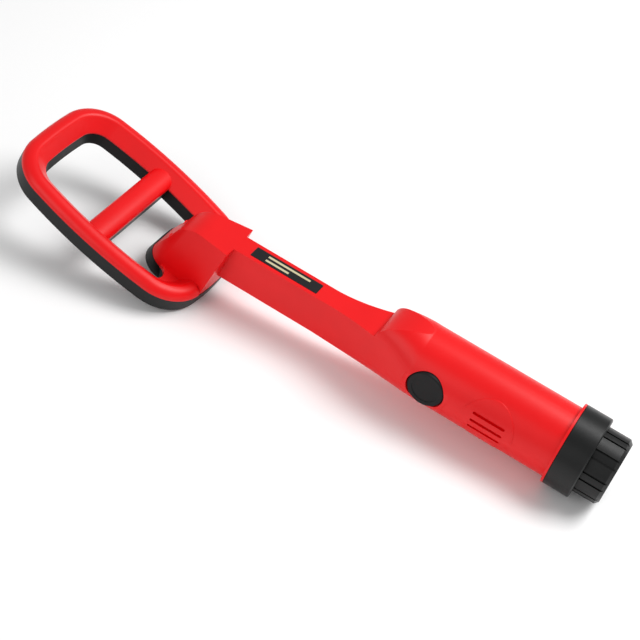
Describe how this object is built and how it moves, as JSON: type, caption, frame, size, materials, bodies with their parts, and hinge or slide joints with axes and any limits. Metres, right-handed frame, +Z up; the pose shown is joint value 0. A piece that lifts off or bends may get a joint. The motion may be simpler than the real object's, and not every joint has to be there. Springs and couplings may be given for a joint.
{
  "type": "underwater metal detector",
  "caption": "Hand-held underwater metal detector: tilted rounded search loop with a crossbar on a flat shaft, round grip with a side push button, sounder slots and a screwed battery cap.",
  "frame": {"origin": "on the axis of the round grip, at the plane where the barrel meets its rear lip, just in front of the battery cap's collar", "axes": "+X along the grip's axis towards the battery cap, +Y away from the push button, +Z up, the side that carries the label; the search loop is at -X, tilted 16.2 degrees so that its far end rises"},
  "size_m": [0.4105, 0.099, 0.0683],
  "materials": {
    "red_housing": "satin-gloss moulded",
    "black_housing": "satin moulded",
    "black_cap": "satin moulded",
    "soft_black": "smooth moulded",
    "seal_rubber": "greased",
    "foam": "closed-cell foam",
    "label_film": "printed film on a plate",
    "screw_steel": "stainless",
    "copper_winding": "enamelled copper wire",
    "lead_sheath": "flexible sheath",
    "wire_red": "wire insulation",
    "battery_shell": "satin",
    "snap_black": "moulded",
    "cradle_grey": "moulded",
    "board_green": "solder mask",
    "chip_black": "moulded epoxy",
    "can_aluminium": "drawn can",
    "connector_white": "moulded",
    "sounder_brass": "rolled disc",
    "motor_steel": "drawn can",
    "switch_red": "moulded"
  },
  "bodies": {
    "housing": {"handle_housing": "red_housing", "loop_cover": "red_housing", "loop_base": "black_housing", "label_plate": "label_film", "hub_screws": "screw_steel", "board_screws": "screw_steel", "coil_winding": "copper_winding", "coil_lead": "lead_sheath", "lead_grommet": "seal_rubber", "button_retainer": "screw_steel", "switch_body": "chip_black", "main_board": "board_green", "controller_chip": "chip_black", "power_transistor": "chip_black", "capacitors": "can_aluminium", "coil_connector": "connector_white", "power_connector": "connector_white", "sounder_disc": "sounder_brass", "sounder_leads": "wire_red", "battery": "battery_shell", "battery_snap": "snap_black", "battery_leads": "wire_red", "battery_cradle": "cradle_grey", "vibration_motor": "motor_steel", "motor_clip": "snap_black"},
    "button": {"button_cap": "soft_black", "button_seal": "seal_rubber", "switch_plunger": "switch_red"},
    "cap_ring": {"cap_seal": "seal_rubber"},
    "cap": {"battery_cap": "black_cap", "cap_pad": "foam"},
    "motor_weight": {"motor_shaft": "screw_steel", "vibration_weight": "motor_steel"}
  },
  "joints": [
    {"name": "button_press", "type": "slide", "parent": "housing", "child": "button", "axis": [0, 1, 0], "range_m": [0, 0.0015], "stiffness_N_per_m": 1500, "springref_m": -0.0005},
    {"name": "cap_travel", "type": "slide", "parent": "housing", "child": "cap_ring", "axis": [1, 0, 0], "range_m": [0, 0.008]},
    {"name": "cap_turn", "type": "hinge", "parent": "cap_ring", "child": "cap", "pos_m": [0.01, 0, 0], "axis": [1, 0, 0], "range_deg": [0, 720]},
    {"name": "weight_spin", "type": "hinge", "parent": "housing", "child": "motor_weight", "pos_m": [-0.0765, 0.005, -0.008], "axis": [1, 0, 0], "continuous": true}
  ],
  "couplings": [
    {"joint": "cap_travel", "follows": "cap_turn", "m_per_rad": 0.0006366}
  ]
}
